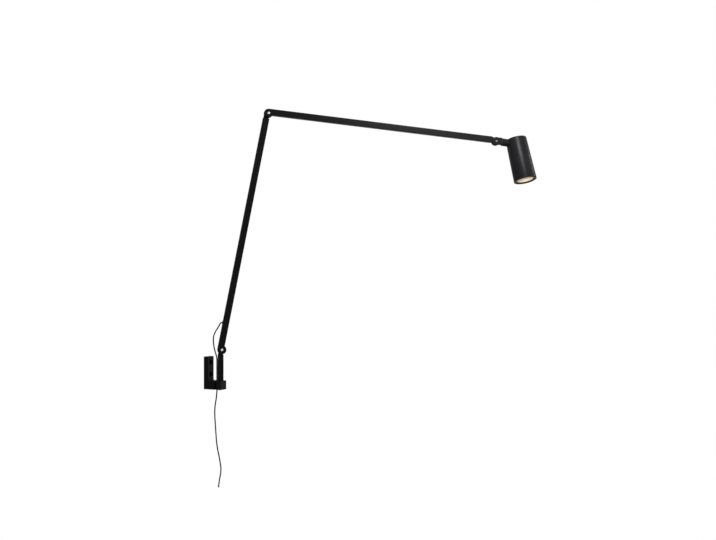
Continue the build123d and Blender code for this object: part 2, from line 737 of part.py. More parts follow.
def lamp_holder():
    """Ceramic holder with two blind contact wells and a flange for its screws."""
    low = holder_bottom()
    high = low + HOLDER_H
    body = rod_z(HOLDER_R, low, high) + rod_z(HOLDER_FLANGE_R, high - HOLDER_FLANGE_T, high)
    for x in (-LAMP_PIN_SPACING / 2, LAMP_PIN_SPACING / 2):
        body = body - rod_z(LAMP_PIN_HEAD_R + CURVE_GAP, low - CUT, low + LAMP_PIN_LENGTH + CUT, x=x)
    for y in holder_screw_places():
        body = body - rod_z(HOLDER_SCREW_R + SEAT_GAP, high - HOLDER_FLANGE_T - CUT, high + CUT, y=y)
    return body


def holder_screw_places():
    """Two screw places across the holder."""
    out = HOLDER_FLANGE_R - HOLDER_SCREW_HEAD_R + HOLDER_SCREW_OUT
    return (-out, out)


def lamp_carrier():
    """Bent strip that hangs the holder from the head's crown."""
    high = STEM_BELOW_TOP - HEAD_CROWN_T - SEAT_GAP - CARRIER_T / 2
    low = holder_bottom() + HOLDER_H + SEAT_GAP + CARRIER_T / 2
    foot = CARRIER_HALF - CARRIER_FOOT
    left = [(-foot, low), (-CARRIER_HALF, low), (-CARRIER_HALF, high)]
    right = [(CARRIER_HALF, high), (CARRIER_HALF, low), (foot, low)]
    line = Polyline(*left, *right)
    body = extrude(Plane.YZ * trace(line, CARRIER_T), CARRIER_W / 2, both=True)
    body = body - rod_z(CARRIER_SCREW_R + SEAT_GAP, high - CARRIER_T, high + CARRIER_T)
    for y in holder_screw_places():
        body = body - rod_z(HOLDER_SCREW_R + SEAT_GAP, low - CARRIER_T, low + CARRIER_T, y=y)
    return body


def carrier_screw():
    """Countersunk screw down through the crown."""
    return countersink(0) + rod_z(CARRIER_SCREW_R, STEM_BELOW_TOP - CARRIER_SCREW_LENGTH, STEM_BELOW_TOP)


def carrier_nut():
    """Nut under the carrier."""
    top = STEM_BELOW_TOP - HEAD_CROWN_T - CARRIER_T - 2 * SEAT_GAP
    bottom = top - CARRIER_NUT_T
    hexagon = RegularPolygon(CARRIER_NUT_AF / 2, 6, major_radius=False)
    body = extrude(Plane((0, 0, bottom)) * hexagon, CARRIER_NUT_T)
    return body - rod_z(CARRIER_SCREW_R + SEAT_GAP, bottom - CUT, top + CUT)


def holder_screws():
    """Two screws that fix the holder under the carrier's feet."""
    seat = holder_bottom() + HOLDER_H + CARRIER_T + 2 * SEAT_GAP
    screws = []
    for y in holder_screw_places():
        head = rod_z(HOLDER_SCREW_HEAD_R, seat, seat + HOLDER_SCREW_HEAD_T, y=y)
        screws.append(head + rod_z(HOLDER_SCREW_R, seat - HOLDER_SCREW_LENGTH, seat, y=y))
    return screws


def head_wire():
    """Inner wire from the nipple down to the holder."""
    rake = radians(HEAD_RAKE)
    first = nipple_start() - HEAD_REACH
    bend = saddle_seat() + NUT_T + WIRE_TURN - HEAD_REACH
    points = [(first * cos(rake), 0, -first * sin(rake)), (bend * cos(rake), 0, -bend * sin(rake))]
    points += [(HEAD_WIRE_X, 0, HEAD_WIRE_Z), (HEAD_WIRE_X, 0, holder_bottom() + HOLDER_H + SEAT_GAP)]
    return cord(points, WIRE_R)


def place(where, shape):
    """Move one solid, or each of a list of solids, to its place in the part."""
    if isinstance(shape, list):
        return Compound([where * solid for solid in shape])
    return where * shape


def build():
    """All nodes by name, each in the part's frame."""
    loop = LOWER_PIN * cord(loop_route())
    drop = cord(drop_route())
    report_cord("cord_loop", loop_route(), loop)
    report_cord("cord_drop", drop_route(), drop)
    nodes = {
        "wall_bracket": wall_bracket(),
        "upper_post_bush": post_bush(UPPER_BUSH_SEAT, -1),
        "lower_post_bush": post_bush(BRACKET_BOTTOM + SINK_DEPTH, 1),
        "cord_drop": drop,
        "post_tube": place(POST, post_tube()),
        "post_foot": place(POST, post_foot()),
        "post_washer": place(POST, post_washer()),
        "post_screw": place(POST, post_screw()),
        "post_tongue": place(POST, tongue(POST_W, POST_SHOULDER, False)),
        "cord_on_post": post_cord(),
        "lower_arm_tube": place(LOWER, lower_arm_tube()),
        "lower_arm_fork": place(LOWER, arm_fork()),
        "lower_arm_tongue": place(LOWER_FAR, tongue(ARM_W, ELBOW_SHOULDER, True)),
        "cord_grommet": place(LOWER, cord_grommet()),
        "cord_loop": loop,
        "lower_arm_wire": place(LOWER, lower_arm_wire()),
        "upper_arm_tube": place(UPPER, arm_tube(HEAD_SHOULDER)),
        "upper_arm_fork": place(UPPER, arm_fork()),
        "upper_arm_tongue": place(UPPER_FAR, tongue(ARM_W, HEAD_SHOULDER, True)),
        "upper_arm_wire": place(UPPER, upper_arm_wire()),
        "head_link": place(UPPER_FAR, head_link()),
        "link_wire": place(UPPER_FAR, link_wire()),
        "swivel_washer": place(UPPER_FAR, swivel_washer()),
        "stem_barrel": place(STEM, stem_barrel()),
        "swivel_grub_screw": place(STEM, swivel_grub()),
        "stem_nipple": place(STEM, stem_nipple()),
        "saddle_washer": place(STEM, saddle_washer()),
        "nipple_nut": place(STEM, nipple_nut()),
        "head_shell": place(HEAD, head_shell()),
        "rim_ring": place(HEAD, rim_ring()),
        "lamp_body": place(HEAD, lamp_body()),
        "lamp_lens": place(HEAD, lamp_lens()),
        "lamp_base": place(HEAD, lamp_base()),
        "lamp_holder": place(HEAD, lamp_holder()),
        "lamp_carrier": place(HEAD, lamp_carrier()),
        "carrier_screw": place(HEAD, carrier_screw()),
        "carrier_nut": place(HEAD, carrier_nut()),
        "holder_screws": place(HEAD, holder_screws()),
        "head_wire": place(HEAD, head_wire()),
    }
    for name, frame in (("lower_hinge", LOWER), ("elbow", UPPER), ("head_hinge", UPPER_FAR)):
        nodes[name + "_bolt"] = place(frame, hinge_bolt())
        nodes[name + "_screw"] = place(frame, hinge_screw())
        nodes[name + "_washers"] = place(frame, friction_washers())
    return nodes


def main():
    """Write one STEP file for each node."""
    os.makedirs("parts", exist_ok=True)
    for name, shape in build().items():
        shape.label = name
        export_step(shape, f"parts/{name}.step")


if __name__ == "__main__":
    main()
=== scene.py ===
"""Looks of the articulating wall lamp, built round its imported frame.

Lengths are metres, except where a comment gives millimetres.
"""

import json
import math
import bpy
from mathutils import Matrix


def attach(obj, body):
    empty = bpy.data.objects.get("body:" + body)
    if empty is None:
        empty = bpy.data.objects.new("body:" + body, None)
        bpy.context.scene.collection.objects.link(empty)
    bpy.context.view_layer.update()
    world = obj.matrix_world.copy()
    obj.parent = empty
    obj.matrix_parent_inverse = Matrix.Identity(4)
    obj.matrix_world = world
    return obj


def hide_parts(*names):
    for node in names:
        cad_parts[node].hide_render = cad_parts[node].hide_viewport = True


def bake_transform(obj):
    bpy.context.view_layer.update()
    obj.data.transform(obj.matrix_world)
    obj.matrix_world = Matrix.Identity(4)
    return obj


bl_info = {
    "name": "Articulating Wall Lamp",
    "version": (1, 0, 0),
    "blender": (4, 5, 0),
    "location": "View3D > Sidebar > Wall Lamp",
    "description": "Finishes, cord, spot head and studio for the articulating wall lamp",
    "category": "Add Mesh",
}

import bmesh
import bpy
from mathutils import Matrix, Vector

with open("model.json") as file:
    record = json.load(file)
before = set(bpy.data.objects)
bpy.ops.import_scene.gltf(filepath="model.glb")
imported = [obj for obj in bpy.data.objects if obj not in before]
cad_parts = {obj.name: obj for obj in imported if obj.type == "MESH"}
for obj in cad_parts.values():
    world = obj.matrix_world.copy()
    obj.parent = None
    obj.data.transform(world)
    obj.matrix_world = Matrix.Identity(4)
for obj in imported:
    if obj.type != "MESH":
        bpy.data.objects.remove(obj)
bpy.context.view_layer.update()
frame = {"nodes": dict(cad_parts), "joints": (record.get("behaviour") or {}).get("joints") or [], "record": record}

NODES = frame["nodes"]
JOINTS = {joint["name"]: joint for joint in frame["joints"]}
MM = 0.001

# Places and directions, read from the frame's joints
POST_AXIS = Vector(JOINTS["post_swivel"]["pos_m"])
LOWER_PIN = Vector(JOINTS["lower_hinge"]["pos_m"])
HEAD_PIN = Vector(JOINTS["head_hinge"]["pos_m"])
STEM_AXIS = Vector(JOINTS["head_roll"]["axis"]).normalized()
HINGE_AXIS = Vector(JOINTS["lower_hinge"]["axis"]).normalized()
UP = Vector((0, 0, 1))
FORWARD = HINGE_AXIS.cross(UP).normalized()
NEAR = -HINGE_AXIS

# Cord: route points in millimetres. The loop's are (forward, up) from the lower pin in the
# arms' plane, from the grommet to the post, set near the solid's route to follow the
# photograph. The drop's repeat the solid's: X from the cord's place in the shelf's notch, and Z.
CORD_FROM_AXIS = 8.9 * MM
SHELF_TOP = -30.0 * MM
LOOP_POINTS = (
    (1.1, 68.1),
    (-2.6, 67.2),
    (-7.6, 57.5),
    (-16.2, 44.0),
    (-20.4, 33.5),
    (-20.9, 21.0),
    (-19.4, 7.5),
    (-16.0, -6.0),
    (-11.9, -19.0),
    (-11.9, -26.0),
)
DROP_POINTS = (
    (0.2, -64.0),
    (-8.0, -102.0),
    (-3.6, -152.0),
    (-1.0, -188.0),
    (9.3, -228.0),
    (12.8, -252.0),
    (6.4, -277.0),
    (4.8, -293.0),
)

# Scale of each finish's noise patterns, in steps to a metre
PAINT_CLOUD = 18.0
PAINT_DUST = 240.0
STEEL_MARKS = 900.0
STEEL_PATCHES = 120.0
MOULD_MOTTLE = 60.0
MOULD_PATCHES = 35.0
MOULD_GRAIN = 1500.0
JACKET_RUB = 45.0
JACKET_PATCHES = 90.0
JACKET_GRAIN = 1100.0

# Noise detail: soft patches, most patterns, and fine grain
CLOUD_DETAIL = 4.0
PLAIN_DETAIL = 3.0
FINE_DETAIL = 2.0

# Part of the noise's range that the patterns use
NOISE_RANGE = (0.35, 0.65)
DUST_RANGE = (0.30, 0.72)

# Darkest and lightest shade of each finish's colour
PAINT_SHADES = (0.85, 1.25)
STEEL_SHADES = (0.88, 1.0)
MOULD_SHADES = (0.9, 1.0)
JACKET_SHADES = (0.8, 1.3)

# Least and most that roughness differs from a finish's own; the jacket's are the roughness itself
PAINT_UNEVEN = (-0.03, 0.05)
STEEL_UNEVEN = (0.0, 0.12)
MOULD_UNEVEN = (-0.04, 0.05)
JACKET_ROUGHNESS = (0.42, 0.56)

# Bump of each finish: strength, and depth in metres
PAINT_BUMP = (0.10, 0.00012)
STEEL_BUMP = (0.05, 0.00005)
MOULD_BUMP = (0.06, 0.00005)
JACKET_BUMP = (0.08, 0.0001)

# Steel: roughness of the plain one, and shade and roughness of the elbow bolt's duller one
STEEL_ROUGHNESS = 0.24
DULL_SHADE = 0.62
DULL_ROUGHNESS = 0.42

# Evenly coloured finishes by slot: material name, colour and roughness
MOULDED = {
    "black_steel": ("blackened_steel", (0.03, 0.03, 0.03), 0.38),
    "black_plastic": ("black_nylon", (0.018, 0.018, 0.019), 0.45),
    "wire_jacket": ("grey_wire_jacket", (0.10, 0.10, 0.11), 0.45),
    "ceramic": ("glazed_ceramic", (0.78, 0.76, 0.70), 0.22),
    "lamp_plastic": ("white_lamp_moulding", (0.74, 0.73, 0.70), 0.35),
}

# Lens: glow colour at its centre, by share of its radius and at its rim; its body's colour,
# roughness and gloss; its darkest ring step; and painted light that makes the glow brighter
# towards one side: how far it changes from side to side, with its direction in the head's own X and Y
LENS_CENTRE = (1.0, 0.93, 0.80, 1.0)
LENS_STOPS = ((0.50, (0.80, 0.62, 0.40, 1.0)), (0.84, (0.60, 0.50, 0.36, 1.0)))
LENS_RIM = (0.08, 0.065, 0.045, 1.0)
LENS_BODY = (0.04, 0.036, 0.03, 1.0)
LENS_ROUGHNESS = 0.5
LENS_GLOSS = 0.02
RING_DARKEST = 0.50
PAINTED_SIDE_GLOW = (0.45, 1.9)
PAINTED_SIDE_RANGE = (0.15, 0.95)
PAINTED_BRIGHT_SIDE = (0.6, 0.8)

# Lens and can meshes
LENS_DOME = 0.8 * MM
LENS_THICKNESS = 2.5 * MM
LENS_RIPPLE = 0.12 * MM
STEPS_PER_RING = 8
LENS_SEGMENTS = 96
CAN_SEGMENTS = 144
CORNER_STEPS = 3
CORNER_SHARE = 0.4

# Distances below which a mesh's doubles are merged, in metres
CORD_MERGE = 1e-6
SPUN_MERGE = 1e-7

# Studio: the floor, the knuckle's near side and the lights' aim below the head's pin, in metres,
# and the camera's sensor in millimetres
FLOOR_RADIUS = 14.0
FLOOR_SEGMENTS = 96
FLOOR_COLOUR = (0.86, 0.86, 0.86, 1.0)
KNUCKLE_NEAR = 8 * MM
AIM_DROP = 0.05
SENSOR_WIDTH = 36.0

# Studio lights: name, power setting, width and height, and place from their aim along the
# camera's look, to its right and up, in metres
LIGHTS = (
    ("key_light", "key_power", (0.16, 0.28), (-0.5, 0.03, 0.42)),
    ("fill_light", "fill_power", (0.7, 0.9), (-0.35, 0.8, 0.05)),
    ("rim_light", "rim_power", (0.05, 0.9), (0.35, 1.0, 0.05)),
)


# Settings ---------------------------------------------------------------------


class LampFinishSettings(bpy.types.PropertyGroup):
    """Colours and surface grain of the lamp's finishes."""

    paint: bpy.props.FloatVectorProperty(
        name="Paint", description="Satin black powder coat", subtype="COLOR", size=3,
        min=0.0, max=1.0, default=(0.004, 0.004, 0.0045),
    )
    paint_roughness: bpy.props.FloatProperty(
        name="Paint roughness", description="Roughness of the powder coat", min=0.0, max=1.0, default=0.36,
    )
    paint_gloss: bpy.props.FloatProperty(
        name="Paint gloss level", description="Strength of the paint's mirror part", min=0.0, max=1.0,
        default=0.035,
    )
    paint_grain: bpy.props.FloatProperty(
        name="Paint grain", description="Width of one grain of the powder coat", unit="LENGTH",
        default=0.0007, min=0.0001,
    )
    steel: bpy.props.FloatVectorProperty(
        name="Steel", description="Plain stainless steel", subtype="COLOR", size=3,
        min=0.0, max=1.0, default=(0.62, 0.61, 0.59),
    )
    jacket: bpy.props.FloatVectorProperty(
        name="Cord jacket", description="Black cord jacket", subtype="COLOR", size=3,
        min=0.0, max=1.0, default=(0.003, 0.003, 0.003),
    )


class LampCordSettings(bpy.types.PropertyGroup):
    """The supply cord."""

    diameter: bpy.props.FloatProperty(
        name="Diameter", description="Outside diameter of the cord", unit="LENGTH", default=0.0032, min=0.001,
    )
    sides: bpy.props.IntProperty(
        name="Roundness", description="Smoothness of the cord's round section", default=4, min=2,
    )
    steps: bpy.props.IntProperty(
        name="Steps", description="Steps along each span of the cord's line", default=12, min=4,
    )


class LampHeadSettings(bpy.types.PropertyGroup):
    """The spot head's sizes, which repeat the part's, except for a slightly finer edge."""

    reach: bpy.props.FloatProperty(
        name="Reach", description="From the head's pin to its axis", unit="LENGTH", default=0.0595,
    )
    rake: bpy.props.FloatProperty(
        name="Rake", description="Lean of the head on its stem", subtype="ANGLE", default=math.radians(12.3),
    )
    roll: bpy.props.FloatProperty(
        name="Roll", description="Turn of the stem at rest", subtype="ANGLE", default=math.radians(-15.3),
    )
    crown: bpy.props.FloatProperty(
        name="Crown", description="Crown above the stem's axis", unit="LENGTH", default=0.013,
    )
    length: bpy.props.FloatProperty(
        name="Length", description="Crown to mouth", unit="LENGTH", default=0.115,
    )
    top_radius: bpy.props.FloatProperty(
        name="Top radius", description="Outer radius at the crown", unit="LENGTH", default=0.0275,
    )
    mouth_radius: bpy.props.FloatProperty(
        name="Mouth radius", description="Outer radius at the mouth", unit="LENGTH", default=0.030,
    )
    wall: bpy.props.FloatProperty(
        name="Wall", description="Thickness of the can's wall", unit="LENGTH", default=0.002,
    )
    crown_wall: bpy.props.FloatProperty(
        name="Crown thickness", description="Thickness of the closed top", unit="LENGTH", default=0.0025,
    )
    edge: bpy.props.FloatProperty(
        name="Edge", description="Rounding of the can's rims", unit="LENGTH", default=0.0007,
    )
    lens_radius: bpy.props.FloatProperty(
        name="Lens radius", description="Radius of the lit lens", unit="LENGTH", default=0.0229,
    )
    lens_recess: bpy.props.FloatProperty(
        name="Lens recess", description="Lens rim behind the mouth", unit="LENGTH", default=0.00255,
    )
    lens_rings: bpy.props.IntProperty(
        name="Lens rings", description="Ring steps moulded in the lens", default=5, min=2,
    )
    glow_strength: bpy.props.FloatProperty(
        name="Glow strength", description="Brightness of the lit lens", default=1.0, min=0.0,
    )


class LampStageSettings(bpy.types.PropertyGroup):
    """Camera, floor and studio lights."""

    azimuth: bpy.props.FloatProperty(
        name="Azimuth", description="Direction that the camera looks in", subtype="ANGLE",
        default=math.radians(26.6),
    )
    distance: bpy.props.FloatProperty(
        name="Distance", description="Camera to the lower knuckle's near side", unit="LENGTH", default=2.455,
    )
    aside: bpy.props.FloatProperty(
        name="Aside", description="Camera to the right of the lower knuckle", unit="LENGTH", default=0.3357,
    )
    height: bpy.props.FloatProperty(
        name="Height", description="Camera above the lower knuckle", unit="LENGTH", default=0.1973,
    )
    lens: bpy.props.FloatProperty(
        name="Lens", description="Focal length in millimetres", default=50.0, min=10.0,
    )
    floor_drop: bpy.props.FloatProperty(
        name="Floor drop", description="Floor below the middle of the wall screws", unit="LENGTH", default=0.95,
    )
    key_power: bpy.props.FloatProperty(
        name="Key power", description="Soft light above and in front of the head", default=17.0, min=0.0,
    )
    fill_power: bpy.props.FloatProperty(
        name="Fill power", description="Wide soft light in front on the right", default=5.0, min=0.0,
    )
    rim_power: bpy.props.FloatProperty(
        name="Rim power", description="Narrow tall light behind on the right", default=7.0, min=0.0,
    )
    world_level: bpy.props.FloatProperty(
        name="World level", description="Even light on the lamp", default=0.55, min=0.0,
    )


# Node helpers -----------------------------------------------------------------


def new_material(name):
    """Empty node material with its output and a Principled shader."""
    material = bpy.data.materials.new(name)
    material.use_nodes = True
    tree = material.node_tree
    tree.nodes.clear()
    output = tree.nodes.new("ShaderNodeOutputMaterial")
    shader = tree.nodes.new("ShaderNodeBsdfPrincipled")
    tree.links.new(shader.outputs["BSDF"], output.inputs["Surface"])
    return material, tree, shader


def noise(tree, scale, detail=PLAIN_DETAIL):
    """Noise on the piece's own coordinates."""
    place = tree.nodes.new("ShaderNodeTexCoord")
    texture = tree.nodes.new("ShaderNodeTexNoise")
    texture.inputs["Scale"].default_value = scale
    texture.inputs["Detail"].default_value = detail
    tree.links.new(place.outputs["Object"], texture.inputs["Vector"])
    return texture.outputs["Fac"]


def spread(tree, value, low, high, span=NOISE_RANGE):
    """Map a span of a value to a range of numbers."""
    node = tree.nodes.new("ShaderNodeMapRange")
    node.inputs["From Min"].default_value = span[0]
    node.inputs["From Max"].default_value = span[1]
    node.inputs["To Min"].default_value = low
    node.inputs["To Max"].default_value = high
    tree.links.new(value, node.inputs["Value"])
    return node.outputs["Result"]


def tint(tree, value, dark, light):
    """Mix two colours by a value."""
    node = tree.nodes.new("ShaderNodeMix")
    node.data_type = "RGBA"
    node.inputs["A"].default_value = (*dark, 1.0)
    node.inputs["B"].default_value = (*light, 1.0)
    tree.links.new(value, node.inputs["Factor"])
    return node.outputs["Result"]


def shade(colour, factor):
    """A colour made darker or lighter."""
    return tuple(min(1.0, channel * factor) for channel in colour)


def mottled(tree, value, colour, shades, shader):
    """Base colour that varies between two shades of one colour by a value."""
    dark, light = shades
    result = tint(tree, value, shade(colour, dark), shade(colour, light))
    tree.links.new(result, shader.inputs["Base Color"])


def uneven(tree, value, roughness, spans, shader):
    """Roughness that varies about a finish's own by a value."""
    low, high = spans
    result = spread(tree, value, roughness + low, roughness + high)
    tree.links.new(result, shader.inputs["Roughness"])


def bump(tree, height, shader, strength, distance):
    """Bump from a height value."""
    node = tree.nodes.new("ShaderNodeBump")
    node.inputs["Strength"].default_value = strength
    node.inputs["Distance"].default_value = distance
    tree.links.new(height, node.inputs["Height"])
    tree.links.new(node.outputs["Normal"], shader.inputs["Normal"])


# Finishes ---------------------------------------------------------------------


def powder_coat(finish):
    """Satin black powder coat: fine orange peel, slightly uneven gloss, faint dusting."""
    material, tree, shader = new_material("satin_black_powder_coat")
    dust = spread(tree, noise(tree, PAINT_DUST, FINE_DETAIL), 0.0, 1.0, DUST_RANGE)
    mottled(tree, dust, finish.paint, PAINT_SHADES, shader)
    cloud = noise(tree, PAINT_CLOUD, CLOUD_DETAIL)
    uneven(tree, cloud, finish.paint_roughness, PAINT_UNEVEN, shader)
    shader.inputs["Specular IOR Level"].default_value = finish.paint_gloss
    bump(tree, noise(tree, 1.0 / finish.paint_grain, FINE_DETAIL), shader, *PAINT_BUMP)
    return material


def stainless(name, steel, roughness):
    """Stainless steel with a fine grain and uneven roughness."""
    material, tree, shader = new_material(name)
    marks = noise(tree, STEEL_MARKS, FINE_DETAIL)
    mottled(tree, spread(tree, marks, 0.0, 1.0), steel, STEEL_SHADES, shader)
    shader.inputs["Metallic"].default_value = 1.0
    uneven(tree, noise(tree, STEEL_PATCHES), roughness, STEEL_UNEVEN, shader)
    bump(tree, marks, shader, *STEEL_BUMP)
    return material


def even_finish(name, colour, roughness):
    """Moulded or blackened surface with a faint mottle."""
    material, tree, shader = new_material(name)
    mottled(tree, spread(tree, noise(tree, MOULD_MOTTLE), 0.0, 1.0), colour, MOULD_SHADES, shader)
    uneven(tree, noise(tree, MOULD_PATCHES), roughness, MOULD_UNEVEN, shader)
    bump(tree, noise(tree, MOULD_GRAIN, FINE_DETAIL), shader, *MOULD_BUMP)
    return material


def cord_jacket(finish):
    """Smooth flexible jacket, slightly uneven in shade and gloss."""
    material, tree, shader = new_material("black_cord_jacket")
    mottled(tree, spread(tree, noise(tree, JACKET_RUB), 0.0, 1.0), finish.jacket, JACKET_SHADES, shader)
    uneven(tree, noise(tree, JACKET_PATCHES), 0.0, JACKET_ROUGHNESS, shader)
    shader.inputs["Specular IOR Level"].default_value = finish.paint_gloss
    bump(tree, noise(tree, JACKET_GRAIN, FINE_DETAIL), shader, *JACKET_BUMP)
    return material


def lit_lens(head):
    """Frosted lens, lit warm white from behind, with darker ring steps and painted light that makes one side
    brighter.
    """
    material, tree, shader = new_material("warm_lit_lens")
    place = tree.nodes.new("ShaderNodeUVMap")
    place.uv_map = "rings"
    split = tree.nodes.new("ShaderNodeSeparateXYZ")
    tree.links.new(place.outputs["UV"], split.inputs["Vector"])
    ramp = tree.nodes.new("ShaderNodeValToRGB")
    stops = ramp.color_ramp.elements
    stops[0].color = LENS_CENTRE
    stops[1].color = LENS_RIM
    for position, colour in LENS_STOPS:
        stops.new(position).color = colour
    tree.links.new(split.outputs["X"], ramp.inputs["Fac"])
    waves = tree.nodes.new("ShaderNodeMath")
    waves.operation = "SINE"
    turns = tree.nodes.new("ShaderNodeMath")
    turns.operation = "MULTIPLY"
    turns.inputs[1].default_value = head.lens_rings * 2 * math.pi
    tree.links.new(split.outputs["X"], turns.inputs[0])
    tree.links.new(turns.outputs["Value"], waves.inputs[0])
    level = tree.nodes.new("ShaderNodeMapRange")
    level.inputs["From Min"].default_value = -1.0
    level.inputs["To Min"].default_value = RING_DARKEST * head.glow_strength
    level.inputs["To Max"].default_value = head.glow_strength
    tree.links.new(waves.outputs["Value"], level.inputs["Value"])
    tree.links.new(ramp.outputs["Color"], shader.inputs["Emission Color"])
    # Painted light: the glow is made stronger towards one side of the lens
    across = spread(tree, split.outputs["Y"], *PAINTED_SIDE_GLOW, PAINTED_SIDE_RANGE)
    lit = tree.nodes.new("ShaderNodeMath")
    lit.operation = "MULTIPLY"
    tree.links.new(level.outputs["Result"], lit.inputs[0])
    tree.links.new(across, lit.inputs[1])
    tree.links.new(lit.outputs["Value"], shader.inputs["Emission Strength"])
    shader.inputs["Base Color"].default_value = LENS_BODY
    shader.inputs["Roughness"].default_value = LENS_ROUGHNESS
    shader.inputs["Specular IOR Level"].default_value = LENS_GLOSS
    return material


def paint_node(name, material):
    """Give a frame node one material."""
    slots = NODES[name].data.materials
    slots.clear()
    slots.append(material)


class LAMP_OT_finish_nodes(bpy.types.Operator):
    """Put the lamp's finishes on the frame's own nodes"""

    bl_idname = "wall_lamp.finish_nodes"
    bl_label = "Finish Frame Nodes"

    def execute(self, context):
        finish = context.scene.wall_lamp_finish
        made = {
            "satin_black_metal": powder_coat(finish),
            "stainless_steel": stainless("plain_stainless", finish.steel, STEEL_ROUGHNESS),
            "cord_jacket": cord_jacket(finish),
            "lit_lens": lit_lens(context.scene.wall_lamp_head),
        }
        for slot, (name, colour, roughness) in MOULDED.items():
            made[slot] = even_finish(name, colour, roughness)
        dull = stainless("dull_stainless", shade(finish.steel, DULL_SHADE), DULL_ROUGHNESS)
        for part in frame["record"]["subparts"]:
            paint_node(part["node"], made[part["material_slot"]])
        paint_node("post_foot", made["satin_black_metal"])
        paint_node("head_hinge_bolt", made["black_steel"])
        paint_node("elbow_bolt", dull)
        return {"FINISHED"}


# Cord ---------------------------------------------------------------------------


def route_curve(name, points, context, thick):
    """Smooth NURBS curve with the route's points as its control points."""
    settings = context.scene.wall_lamp_cord
    data = bpy.data.curves.new(name, "CURVE")
    data.dimensions = "3D"
    spline = data.splines.new("NURBS")
    spline.points.add(len(points) - 1)
    for knot, point in zip(spline.points, points):
        knot.co = (*point, 1.0)
    spline.order_u = 3
    spline.use_endpoint_u = True
    spline.resolution_u = settings.steps
    if thick:
        data.bevel_depth = settings.diameter / 2
        data.bevel_resolution = settings.sides
        data.use_fill_caps = True
    curve = bpy.data.objects.new(name, data)
    context.scene.collection.objects.link(curve)
    context.view_layer.update()
    return curve


def mesh_of(curve, name):
    """Mesh that a curve makes, and nothing left of the curve."""
    graph = bpy.context.evaluated_depsgraph_get()
    mesh = bpy.data.meshes.new_from_object(curve.evaluated_get(graph))
    mesh.name = name
    bpy.data.objects.remove(curve)
    return mesh


def cord_tube(name, points, context):
    """Round cord as a mesh, with the points of its smooth line."""
    line = mesh_of(route_curve(name + "_line", points, context, False), name + "_line")
    path = [tuple(vertex.co) for vertex in line.vertices]
    mesh = mesh_of(route_curve(name + "_skin", points, context, True), name)
    work = bmesh.new()
    work.from_mesh(mesh)
    bmesh.ops.remove_doubles(work, verts=work.verts, dist=CORD_MERGE)
    bmesh.ops.recalc_face_normals(work, faces=work.faces)
    for face in work.faces:
        face.smooth = len(face.verts) == 4
    work.to_mesh(mesh)
    work.free()
    tube = bpy.data.objects.new(name, mesh)
    context.scene.collection.objects.link(tube)
    tube.data.materials.clear()
    tube.data.materials.append(bpy.data.materials["black_cord_jacket"])
    return tube, path


def in_arm_plane(forward, up):
    """Point of the arms' plane, from the lower pin, given in millimetres."""
    return LOWER_PIN + FORWARD * forward * MM + UP * up * MM


class LAMP_OT_cord(bpy.types.Operator):
    """Make the cord: its loop to the post, its run down the post and its free drop"""

    bl_idname = "wall_lamp.cord"
    bl_label = "Make Cord"

    def execute(self, context):
        loop_points = [in_arm_plane(*point) for point in LOOP_POINTS]
        loop, path = cord_tube("supply_cord_loop", loop_points, context)
        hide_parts("cord_loop")
        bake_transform(loop)
        run_top = loop_points[-1]
        notch = POST_AXIS - FORWARD * CORD_FROM_AXIS
        drop_points = [run_top, Vector((notch.x, notch.y, SHELF_TOP))]
        for across, height in DROP_POINTS:
            drop_points.append(Vector((notch.x + across * MM, notch.y, height * MM)))
        drop, path = cord_tube("supply_cord_drop", drop_points, context)
        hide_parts("cord_on_post", "cord_drop")
        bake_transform(drop)
        return {"FINISHED"}


# Head -----------------------------------------------------------------------------


def head_matrix(head):
    """Place of the head: its axis is local Z, with the crown up and the stem along local X."""
    up = STEM_AXIS.cross(HINGE_AXIS)
    turn = Matrix((STEM_AXIS, HINGE_AXIS, up)).transposed().to_4x4()
    stem = Matrix.Translation(HEAD_PIN) @ turn @ Matrix.Rotation(head.roll, 4, "X")
    return stem @ Matrix.Translation((head.reach, 0, 0)) @ Matrix.Rotation(-head.rake, 4, "Y")


def spun(name, profile, segments, matrix, context):
    """Mesh turned from an outline of (radius, height) points about local Z."""
    work = bmesh.new()
    knots = [work.verts.new((radius, 0.0, height)) for radius, height in profile]
    edges = [work.edges.new(pair) for pair in zip(knots, knots[1:])]
    bmesh.ops.spin(
        work, geom=knots + edges, cent=(0, 0, 0), axis=(0, 0, 1), dvec=(0, 0, 0),
        angle=2 * math.pi, steps=segments, use_merge=True, use_duplicate=False,
    )
    bmesh.ops.remove_doubles(work, verts=work.verts, dist=SPUN_MERGE)
    bmesh.ops.recalc_face_normals(work, faces=work.faces)
    return finish_mesh(name, work, matrix, context)


def finish_mesh(name, work, matrix, context):
    """Turn a bmesh into a smooth-shaded piece whose place is in its mesh."""
    work.transform(matrix)
    for face in work.faces:
        face.smooth = True
    mesh = bpy.data.meshes.new(name)
    work.to_mesh(mesh)
    work.free()
    piece = bpy.data.objects.new(name, mesh)
    context.scene.collection.objects.link(piece)
    return piece


def rounded(profile, edge):
    """Round the corners of an outline, each with a short arc."""
    points = []
    for before, here, after in zip(profile, profile[1:], profile[2:]):
        corner = Vector(here)
        back = Vector(before) - corner
        ahead = Vector(after) - corner
        reach = min(edge, CORNER_SHARE * back.length, CORNER_SHARE * ahead.length)
        first = corner + back.normalized() * reach
        last = corner + ahead.normalized() * reach
        for step in range(CORNER_STEPS + 1):
            share = step / CORNER_STEPS
            along = first.lerp(corner, share).lerp(corner.lerp(last, share), share)
            points.append(tuple(along))
    return [profile[0], *points, profile[-1]]


